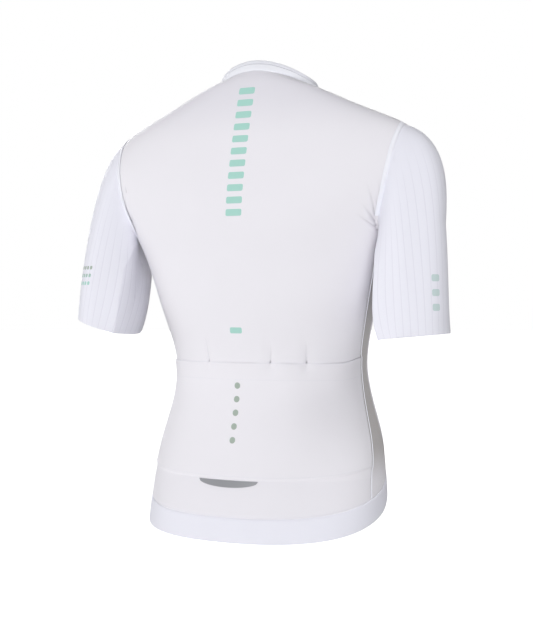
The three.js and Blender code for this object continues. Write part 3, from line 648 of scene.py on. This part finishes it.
# %% Piping
piping_rows = np.linspace(HEM_TOP + 0.03, SIDE_TOP - 0.03, 150)
piping_angles = side_angle(True, piping_rows)
piping_line, piping_out = skin(piping_angles, piping_rows)
piping_fore = unit(body(piping_angles - 0.5, piping_rows) - body(piping_angles + 0.5, piping_rows))
piping_across = np.array([0.15, 0.5, 1.1, 1.7, 2.05])
piping_rise = np.array([0.05, 0.5, 0.65, 0.5, 0.05])
beside_pocket = (smooth((piping_rows - POCKET_LOW + 0.08) / 0.08)
                 - smooth((piping_rows - POCKET_TOP - 0.1) / 0.08))
piping_high = piping_rise[None, :] + 1.5 * beside_pocket[:, None]
piping_places = (piping_line[:, None] + piping_fore[:, None] * piping_across[None, :, None]
                 + piping_out[:, None] * piping_high[..., None])
piping_normals = np.repeat(piping_out[:, None], len(piping_across), 1)
piping_left, piping_right = shape_pair("side_piping", piping_places, piping_normals, thickness=0.3)

# %% Stitches
STITCH_PITCH, STITCH_LENGTH, THREAD, THREAD_RISE = 3.2, 2.1, 0.2, 0.1


def small_mesh(bm):
    mesh = bpy.data.meshes.new("small")
    bm.to_mesh(mesh)
    bm.free()
    return mesh


def on_line(line, far, at):
    return Vector([np.interp(at, far, line[:, i]) for i in range(3)])


def put(target, small, axes, centre):
    """Adds a copy of a small mesh to a bmesh, turned to three axes, at a place in millimetres"""
    place = Matrix.Translation(centre * MM) @ Matrix(axes).transposed().to_4x4()
    small.transform(place)
    target.from_mesh(small)
    small.transform(place.inverted())


bm = bmesh.new()
bmesh.ops.create_cone(
    bm, cap_ends=True, segments=6, radius1=THREAD * MM, radius2=THREAD * MM, depth=STITCH_LENGTH * MM)
rod = small_mesh(bm)
thread = bmesh.new()


def stitch(places, normals):
    """Stitches along a line of places, half sunk in the cloth"""
    far = length_along(places)
    for at in np.arange(STITCH_PITCH, far[-1] - STITCH_PITCH, STITCH_PITCH):
        start, end, out = on_line(places, far, at - 1), on_line(places, far, at + 1), on_line(normals, far, at)
        lengthwise = (end - start).normalized()
        out = (out - lengthwise * out.dot(lengthwise)).normalized()
        put(thread, rod, (out, lengthwise.cross(out), lengthwise), (start + end) / 2 + out * THREAD_RISE)


def stitch_row(row, start, stop):
    stitch(*skin(np.linspace(start, stop, 160), row))


stitch_row(HEM_TOP + 0.035, hem_rear, 180 - hem_rear)
for line in (-3, -19, 5):
    stitch(pocket_face[line, 6:-6], pocket_normals[line, 6:-6])
for up in (0.06, 0.1):
    stitch_row(NECK - up, 0, 180)
front_turns, shoulder_rows = np.linspace(200, 345, 120), np.linspace(ARM_TOP + 0.1, NECK - 0.15, 60)
for flip in (1, -1):
    normal, _, into = armhole_edge(front_turns)
    stitch((armhole_point(front_turns) + into * 2.2) * (flip, 1, 1), normal * (flip, 1, 1))
    places, normal = skin(0, shoulder_rows)
    across = unit(body(0.5, shoulder_rows) - body(-0.5, shoulder_rows))
    for over in (-2.2, 2.2):
        stitch((places + across * over) * (flip, 1, 1), normal * (flip, 1, 1))
bpy.data.meshes.remove(rod)
stitches = keep("stitches", thread)

# %% [markdown]
# ## The hem band and the collar
#
# Both are bands that run all round, from one side of the zip to the other. The hem is a dense
# elastic band, a little thicker than the knit, and the collar is a low band with a bound top edge.

# %% Hem band, collar and binding
COLLAR_BAND, COLLAR_BINDING, COLLAR_LEAN = 9.4, 4.6, 3.0
HEM_PROUD = 0.6


def round_angles(row, count_back, count_front, count_side):
    """Angles all round a row, from one side of the zip to the other"""
    on_hem = row <= HEM_TOP
    rear = hem_rear if on_hem else 0.0
    fore = SIDE_FRONT_AT_HEM if on_hem else 0.0
    left = spread(fore, float(zip_angle(row)), row, evenly(count_front, (0.003, 0.008)))[::-1]
    if on_hem:
        left = np.concatenate([left, np.linspace(fore, rear, count_side + 1)[1:-1]])
    else:
        left = left[:-1]
    rear_angles = spread(rear, 180 - rear, row, evenly(count_back))
    return np.concatenate([left, rear_angles, (180 - left)[::-1]])


hem_rows = HEM_TOP * evenly(16, (0.02, 0.05))
hem_angles = np.stack([round_angles(r, 170, 90, 22) for r in hem_rows])
hem_base, hem_normals = skin(hem_angles, hem_rows[:, None])
hem_height = np.linalg.norm(hem_base - hem_base[:1], axis=2)
hem_left = np.linalg.norm(hem_base[-1:] - hem_base, axis=2)
hem_lift = HEM_PROUD - 0.7 * bell(hem_left / 1.4) - 0.5 * bell(hem_height / 1.2)
hem = shape_sheet("hem_cloth", hem_base + hem_normals * hem_lift[..., None], hem_normals, thickness=1.6)


def collar_place(angle, up):
    outwards = np.stack([*cos_sin(angle), 0 * angle], -1)
    lean = -COLLAR_LEAN * up / (COLLAR_BAND + COLLAR_BINDING)
    rise = np.stack([0 * up, 0 * up, up], -1)
    return body(angle, NECK) + outwards * lean[..., None] + rise


def collar_sheet(name, low, high, parts, profile, thickness):
    """A band of the collar: profile is how far each of its heights stands off the plain form"""
    angles = round_angles(NECK, 100, 60, 0)
    angle, up = np.meshgrid(angles, low + (high - low) * np.asarray(parts))
    normals = normal_of(collar_place, angle, up, 0.5, 0.5)
    places = collar_place(angle, up) + normals * np.asarray(profile)[:, None, None]
    return shape_sheet(name, places, normals, thickness=thickness)


collar = collar_sheet(
    "collar_cloth", 0, COLLAR_BAND,
    [0, 0.08, 0.2, 0.4, 0.6, 0.8, 0.92, 1],
    [-0.8, -0.2, 0, 0, 0, 0, -0.25, -0.9], 1.2,
)
binding = collar_sheet(
    "collar_binding_cloth", COLLAR_BAND, COLLAR_BAND + COLLAR_BINDING,
    [0, 0.1, 0.3, 0.5, 0.7, 0.85, 0.95, 1],
    [-1.1, -0.6, -0.35, -0.3, -0.3, -0.4, -0.6, -1.0], 1.2,
)

# %% [markdown]
# ## The zip
#
# A coil zip has two woven tapes and two rows of nylon loops that lock in the middle. One loop, a
# flattened sphere, is repeated along the zip's line. The slider and its pull keep their solids.

# %% Zip tapes and teeth
ZIP_COIL_HALF, TOOTH_PITCH, LOOP_HALF, LOOP_OFF, LOOP_RISE = 2.2, 1.5, 1.35, 0.75, 0.45


def zip_line(count):
    """Places up the middle of the front to the collar's top, with the way out of the cloth"""
    front, out = skin(-90, np.linspace(0, NECK, count))
    up = np.linspace(0, COLLAR_BAND + COLLAR_BINDING, 13)[1:]
    top_out = normal_of(collar_place, -90, up, 0.5, 0.5)
    places, normals = np.concatenate([front, collar_place(-90, up)]), np.concatenate([out, top_out])
    places[:, 0], normals[:, 0] = 0, 0
    return places, unit(normals)


line, line_out = zip_line(160)
tape_x = np.array([ZIP_COIL_HALF - 0.6, 3.0, 4.2, ZIP_OPENING - 0.1])
tape_grid = line[:, None, :] + np.array([1, 0, 0]) * tape_x[None, :, None] - line_out[:, None, :] * 0.15
tape_grid_out = np.repeat(line_out[:, None, :], len(tape_x), 1)
zip_tape_left, zip_tape_right = shape_pair("zip_tape_cloth", tape_grid, tape_grid_out, thickness=0.6)

bm = bmesh.new()
bmesh.ops.create_uvsphere(bm, u_segments=8, v_segments=5, radius=1)
bmesh.ops.scale(bm, verts=bm.verts, vec=(LOOP_HALF * MM, 0.62 * MM, 0.42 * MM))
loop = small_mesh(bm)
teeth = bmesh.new()
sideways, far = Vector((1, 0, 0)), length_along(line)
for k, at in enumerate(np.arange(0.8, far[-1] - 0.8, TOOTH_PITCH / 2)):
    out = on_line(line_out, far, at).normalized()
    offset = sideways * (LOOP_OFF if k % 2 else -LOOP_OFF)
    put(teeth, loop, (sideways, -out, sideways.cross(-out)), on_line(line, far, at) + out * LOOP_RISE + offset)
bpy.data.meshes.remove(loop)
zip_teeth = keep("zip_teeth", teeth)

# %% [markdown]
# ## Which solid each piece stands for
#
# The replaced solids stay in the imported model for physics and are hidden here. Every piece is sewn
# on, so it rides on the root body; only the zip's pull hangs from a hinge.

# %% Riding and replacing
pieces = {
    back: ("knit", "back"), pocket: ("knit", "pocket_panel"), moon: ("reflective", "reflective_tab"),
    front_left: ("knit", "front_left"), front_right: ("knit", "front_right"),
    side_left: ("knit", "side_left"), side_right: ("knit", "side_right"),
    sleeve_left: ("rib", "sleeve_left"), sleeve_right: ("rib", "sleeve_right"),
    tape_left: ("trim", "seam_tape_left"), tape_right: ("trim", "seam_tape_right"),
    hem: ("hem", "hem_band"), collar: ("trim", "collar"), binding: ("trim", "collar_binding"),
    zip_tape_left: ("zip", "zip_tape_left"), zip_tape_right: ("zip", "zip_tape_right"),
    zip_teeth: ("coil", "zip_coil"),
}
for piece, (slot, node) in pieces.items():
    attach(piece, "root")
    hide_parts(node)

for trim in (piping_left, piping_right, stitches):
    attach(trim, "root")

# %% [markdown]
# ## A small language for materials
#
# A material's sums are easier to read as Python than as nodes. A Wire holds one socket. Python's
# operators on it add Math nodes, and its method `add` makes any other node.

# %% The Wire class
def sum_of(operation):
    """A method of Wire that puts itself and another value through one Math node"""
    return lambda self, other: self.math(operation, self, other)


class Wire:
    """One socket of a material's nodes, for use in Python sums"""

    def __init__(self, tree, socket=None):
        self.tree, self.socket = tree, socket

    def add(self, kind, settings=None, inputs=None, output=0):
        """Adds a node: its settings first, then the values or wires of its sockets"""
        node = self.tree.nodes.new(kind)
        for name, value in (settings or {}).items():
            setattr(node, name, value)
        for name, value in (inputs or {}).items():
            if isinstance(value, Wire):
                self.tree.links.new(value.socket, node.inputs[name])
            else:
                node.inputs[name].default_value = value
        return Wire(self.tree, node.outputs[output] if node.outputs else None)

    def math(self, operation, *values):
        return self.add("ShaderNodeMath", {"operation": operation}, dict(enumerate(values)))

    __add__ = __radd__ = sum_of("ADD")
    __mul__ = __rmul__ = sum_of("MULTIPLY")
    __sub__, __pow__, most = sum_of("SUBTRACT"), sum_of("POWER"), sum_of("MAXIMUM")

    def __rsub__(self, other):
        return self.math("SUBTRACT", other, self)

    def sin(self):
        return self.math("SINE", self)

    def size(self):
        return self.math("ABSOLUTE", self)

    def wrap(self, length):
        """Repeats the value from minus to plus half a length"""
        return self.math("WRAP", self, length / 2, -length / 2)

    def between(self, low, high):
        """0 below low, 1 above high, and smooth in between; low may be the larger"""
        if low < high:
            inputs = {"Value": self, "From Min": low, "From Max": high}
            return self.add("ShaderNodeMapRange", {"interpolation_type": "SMOOTHSTEP"}, inputs)
        return 1 - self.between(high, low)

    def tint(self, first, second):
        """Mixes two colours by this value"""
        settings = {"data_type": "RGBA"}
        return self.add("ShaderNodeMix", settings, {0: self, 6: first, 7: second}, output=2)


def rgb(red, green, blue):
    """A colour from the photograph's 0 to 255 scale, as the linear one that a shader needs"""
    parts = (red / 255, green / 255, blue / 255)
    return (*(c / 12.92 if c <= 0.04045 else ((c + 0.055) / 1.055) ** 2.4 for c in parts), 1.0)


def darker(colour, share):
    return (*(c * share for c in colour[:3]), 1)


def new_material(name):
    material = bpy.data.materials.new(name)
    material.use_nodes = True
    material.node_tree.nodes.clear()
    return material, Wire(material.node_tree)


def shade(graph, colour, roughness, normal=None, **rest):
    """The shader and the output; rest are plain values of the shader's own sockets"""
    inputs = {"Base Color": colour, "Roughness": roughness, **rest}
    if normal is not None:
        inputs["Normal"] = normal
    surface = graph.add("ShaderNodeBsdfPrincipled", None, inputs)
    graph.add("ShaderNodeOutputMaterial", None, {"Surface": surface})


def bump(graph, height, distance, strength, normal=None):
    inputs = {"Height": height, "Distance": distance * MM, "Strength": strength}
    if normal is not None:
        inputs["Normal"] = normal
    return graph.add("ShaderNodeBump", None, inputs)


def cloth_place(graph):
    """The place on the cut cloth, across and along, in millimetres"""
    uv = graph.add("ShaderNodeUVMap", {"uv_map": "cloth"})
    across = graph.add("ShaderNodeSeparateXYZ", None, {0: uv}, output=0)
    along = graph.add("ShaderNodeSeparateXYZ", None, {0: uv}, output=1)
    return across, along


def object_place(graph):
    """The place in the jersey's own frame, in millimetres"""
    place = graph.add("ShaderNodeTexCoord", None, None, output=3)
    return [graph.add("ShaderNodeSeparateXYZ", None, {0: place}, output=i) * 1000 for i in range(3)]


def noise(graph, scale, detail=2.0):
    place = graph.add("ShaderNodeTexCoord", None, None, output=3)
    return graph.add("ShaderNodeTexNoise", None, {"Scale": scale, "Detail": detail, "Vector": place})


def vertex_value(graph, name):
    return graph.add("ShaderNodeAttribute", {"attribute_name": name}, None, output=2)


def rounded_bar(x, z, half_x, half_z, corner):
    """1 inside a bar with round corners, 0 outside; x and z are measured from its middle"""
    far_x, far_z = (x.size() - (half_x - corner)).most(0), (z.size() - (half_z - corner)).most(0)
    reach = (far_x * far_x + far_z * far_z) ** 0.5
    return reach.between(corner + 0.12, corner - 0.12)


# %% [markdown]
# ## The body knit
#
# Race knit is smooth and matt: columns of tiny loops less than a millimetre wide. The loops are a
# bump on the cloth's own UVs. The prints are plain bars and dots in mint and grey-green, as masks
# in the jersey's frame, on the outside of the pieces that carry them. Shade is painted into the colour
# too: in the creases and tucks, under the arm, on the side panels and on the back near the collar.

# %% Knits
WHITE = rgb(238, 236, 242)
COOL = rgb(237, 237, 247)
MINT = rgb(168, 215, 205)
PALE_MINT = rgb(200, 217, 218)
GREY_GREEN = rgb(165, 178, 168)
# The open knit's grey stands for shade from the hanging arm: painted shade
MESH_GREY_AND_SHADE = rgb(194, 190, 189)
SHADE = rgb(122, 116, 124)


def knit_height(across, along, wale=0.9, course=0.7):
    """Loops of a plain knit: two legs to a column, leaning together into a V"""
    lean = (across * (math.pi / wale)).sin().size()
    step = ((along + lean * 0.35) * (2 * math.pi / course)).sin()
    return lean * 0.6 + step * 0.4


def painted_outside(graph, colour, outside_paint):
    """Prints and painted shading on the outside of the cloth only"""
    return vertex_value(graph, "inside").between(0.4, 0.6).tint(outside_paint(graph, colour), colour)


def knit(name, colour, outside_paint=None, holes=0.0):
    material, graph = new_material(name)
    across, along = cloth_place(graph)
    cloud = noise(graph, 22.0)
    colour = (cloud * 0.35).tint(colour, darker(colour, 0.965))
    if outside_paint:
        colour = painted_outside(graph, colour, outside_paint)
    if holes:
        row = along.wrap(1.7)
        hole = ((across.wrap(1.9) ** 2 + row * row) ** 0.5).between(0.55, 0.35)
        colour = (hole * holes).tint(colour, SHADE)
    # Painted shade: creases, tucks, the pocket's mouth and the side under the arm are darkened towards SHADE
    colour = (vertex_value(graph, "painted_shade") * 0.75).tint(colour, SHADE)
    soft = bump(graph, noise(graph, 60.0, 1.0), 0.25, 0.25)
    normal = bump(graph, knit_height(across, along), 0.12, 0.35, soft)
    shade(graph, colour, 0.62, normal, **{"Sheen Weight": 0.25, "IOR": 1.4})
    return material


def back_prints_and_shade(graph, colour):
    x, y, z = object_place(graph)
    spine = rounded_bar(x, (z + 105).wrap(16.6), 12.0, 4.6, 2.4) * (z + 105).size().between(88.5, 88)
    low = rounded_bar(x, z + 345, 9.0, 4.0, 2.2)
    # Painted shade on the back near the collar; below the pocket the back is a little greyer
    painted_neck_shade, below_pocket = (z + 95).between(0, 80), (z + 541).between(1, -1)
    colour = (painted_neck_shade * 0.5 + below_pocket * 0.1).tint(colour, rgb(216, 214, 224))
    return low.most(spine).tint(colour, MINT)


knit_back = knit("knit_back", WHITE, back_prints_and_shade)
knit_plain = knit("knit_plain", WHITE)


def painted_side_light(graph, colour):
    """Painted light at the hip: below the arm, the open knit's painted grey shade fades to white"""
    z = object_place(graph)[2]
    return (z + 525).between(28, -28).tint(colour, WHITE)


knit_open = knit("knit_open", MESH_GREY_AND_SHADE, painted_side_light, holes=0.3)


def pocket_prints(graph, colour):
    x, y, z = object_place(graph)
    dots = rounded_bar(x, (z + 455).wrap(18), 4.2, 4.2, 4.0) * (z + 455).size().between(44.5, 44)
    return dots.tint(colour, GREY_GREEN)


knit_pocket = knit("knit_pocket", WHITE, pocket_prints)

# %% Ribbed sleeves
RIB_PITCH = 11.0


def rib(name, outside_paint):
    material, graph = new_material(name)
    across, along = cloth_place(graph)
    # The grooves between the ribs are bumped in and painted darker, as shade in them; the fine ribs faintly too
    groove = across.wrap(RIB_PITCH).size().between(0.9, 0.1) * along.between(10, 120)
    fine = (across * (2 * math.pi / 1.375)).sin()
    colour = (groove * 0.4 + fine * 0.05).tint(COOL, rgb(214, 212, 226))
    colour = painted_outside(graph, colour, outside_paint)
    normal = bump(graph, fine * 0.15 - groove, 0.35, 0.5)
    shade(graph, colour, 0.6, normal, **{"Sheen Weight": 0.25, "IOR": 1.4})
    return material


def dash_rows(graph, colour):
    """Three rows of short dashes round the outside of the arm"""
    across, z = cloth_place(graph)[0], object_place(graph)[2] + 270
    dash = rounded_bar((across - 397.5).wrap(8), z.wrap(11), 2.8, 2.5, 1.6)
    dash = dash * across.between(341.2, 341.8) * across.between(401.8, 401.2) * z.size().between(16, 15.6)
    return dash.tint(colour, z.between(11, -11).tint(GREY_GREEN, MINT))


def three_bars(graph, colour):
    """Three plain bars, one under the other, on the outside of the arm"""
    across, z = cloth_place(graph)[0], object_place(graph)[2] + 294.6
    bar = rounded_bar(across - 355.2, z.wrap(18.6), 6.5, 4.4, 2.6)
    return (bar * z.size().between(27.8, 27.4)).tint(colour, PALE_MINT)


rib_left = rib("rib_left", dash_rows)
rib_right = rib("rib_right", three_bars)


# %% Bands, tapes, film and zip
def plain(name, colour, roughness, pitch, depth, metallic=0.0, sheen=0.2, groove=None):
    material, graph = new_material(name)
    across, along = cloth_place(graph)
    weave = (across * (2 * math.pi / pitch)).sin() * (along * (2 * math.pi / pitch)).sin()
    tone = (noise(graph, 35.0) * 0.3).tint(colour, darker(colour, 0.95))
    # A groove is painted darker, as shade in it: the line under the collar's binding
    if groove:
        tone = ((along - groove).size().between(0.9, 0.3) * 0.5).tint(tone, rgb(150, 148, 158))
    normal = bump(graph, weave, depth, 0.4)
    shade(graph, tone, roughness, normal, Metallic=metallic, **{"Sheen Weight": sheen, "IOR": 1.45})
    return material


elastic = plain("elastic_hem", COOL, 0.55, 0.8, 0.1)
# The band carries painted shade along its groove under the binding
band_tape = plain("band_tape", rgb(236, 237, 244), 0.55, 0.7, 0.08, groove=COLLAR_BAND)
# The binding is the band's tape, painted darker as shade on its rounded top edge
bound_edge_shaded = plain("bound_edge_shaded", rgb(224, 225, 232), 0.55, 0.7, 0.08)
bright_tape = plain("bright_tape", rgb(244, 245, 253), 0.5, 0.6, 0.05)
sewing = plain("sewing_thread", rgb(228, 228, 236), 0.5, 0.3, 0.02)
film = plain("reflective_film", rgb(160, 161, 166), 0.38, 1.2, 0.03, metallic=0.3, sheen=0.0)
woven = plain("woven_tape", rgb(232, 232, 238), 0.6, 0.6, 0.1)


def hard(name, colour, roughness, metallic):
    material, graph = new_material(name)
    grain = noise(graph, 900.0, 3.0)
    uneven = noise(graph, 120.0)
    shade(graph, (uneven * 0.5).tint(colour, darker(colour, 0.85)),
          uneven * 0.12 + roughness, bump(graph, grain, 0.02, 0.3), Metallic=metallic)
    return material


nylon = hard("nylon_teeth", rgb(232, 232, 238), 0.35, 0.0)
zinc = hard("cast_zinc", rgb(196, 198, 203), 0.28, 1.0)

looks = {
    knit_back: [back], knit_pocket: [pocket], film: [moon], knit_plain: [front_left, front_right],
    knit_open: [side_left, side_right], rib_left: [sleeve_left], rib_right: [sleeve_right],
    bright_tape: [tape_left, tape_right, piping_left, piping_right], sewing: [stitches],
    elastic: [hem], band_tape: [collar], bound_edge_shaded: [binding],
    woven: [zip_tape_left, zip_tape_right], nylon: [zip_teeth],
}
for material, dressed in looks.items():
    for piece in dressed:
        piece.data.materials.append(material)
for node in ("zip_slider", "zip_pull"):
    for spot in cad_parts[node].material_slots:
        spot.material = zinc

# %% [markdown]
# ## Floor and light
#
# A product photograph of a white garment is lit from all round and burns the background out to
# pure white. Here the world is white to the camera only and a weak fill to everything else. Five
# large lamps stand around the camera, and one behind the jersey lights its front in other views.
# The stronger right-hand lamp is high, so the hanging arm shades the side under it. A sun lamp
# with a wide angle is as soft as a big softbox, and lights every part evenly from any distance.

# %% Floor
FLOOR_DROP, FLOOR_RADIUS = -1150, 30000
bm = bmesh.new()
bmesh.ops.create_circle(bm, cap_ends=True, segments=96, radius=FLOOR_RADIUS * MM)
bmesh.ops.translate(bm, verts=bm.verts, vec=(0, 0, FLOOR_DROP * MM))
floor = keep("floor", bm)
floor_material, graph = new_material("floor_paint")
shade(graph, (noise(graph, 3.0) * 0.2).tint(rgb(250, 250, 250), rgb(247, 247, 248)), 0.9,
      **{"Emission Color": (1, 1, 1, 1), "Emission Strength": 0.6})
floor.data.materials.append(floor_material)
floor.visible_diffuse = floor.visible_glossy = floor.visible_shadow = False

# %% World and lamps
WORLD_FILL = 0.14
LAMP_SPREAD = 35
LAMPS = [
    # name, degrees to the right of the camera, degrees up, strength
    ("low_front", 0, -15, 0.38),
    ("left_wall", -100, 8, 0.35),
    ("key", -30, 3, 0.42),
    ("high_right", 72, 45, 0.32),
    ("low_right", 85, -10, 0.11),
    ("behind", 190, 20, 0.75),
]
bpy.context.scene.view_settings.view_transform = "Standard"
world = bpy.data.worlds.new("studio")
bpy.context.scene.world = world
world.use_nodes = True
world.node_tree.nodes.clear()
graph = Wire(world.node_tree)
seen = graph.add("ShaderNodeLightPath")
strength = seen * (1 - WORLD_FILL) + WORLD_FILL
sky = graph.add("ShaderNodeBackground", None, {"Color": (1, 1, 1, 1), "Strength": strength})
graph.add("ShaderNodeOutputWorld", None, {"Surface": sky})

for name, right, up, strength in LAMPS:
    data = bpy.data.lights.new(name, "SUN")
    data.angle, data.energy = math.radians(LAMP_SPREAD), math.pi * strength
    light = bpy.data.objects.new(name, data)
    bpy.context.scene.collection.objects.link(light)
    turn = math.radians(90) + VIEW_TURN + math.radians(right)
    rise = math.radians(up)
    towards = Vector((math.cos(turn) * math.cos(rise), math.sin(turn) * math.cos(rise), math.sin(rise)))
    light.matrix_world = towards.to_track_quat("Z", "Y").to_matrix().to_4x4()
print(len(LAMPS), "lamps")
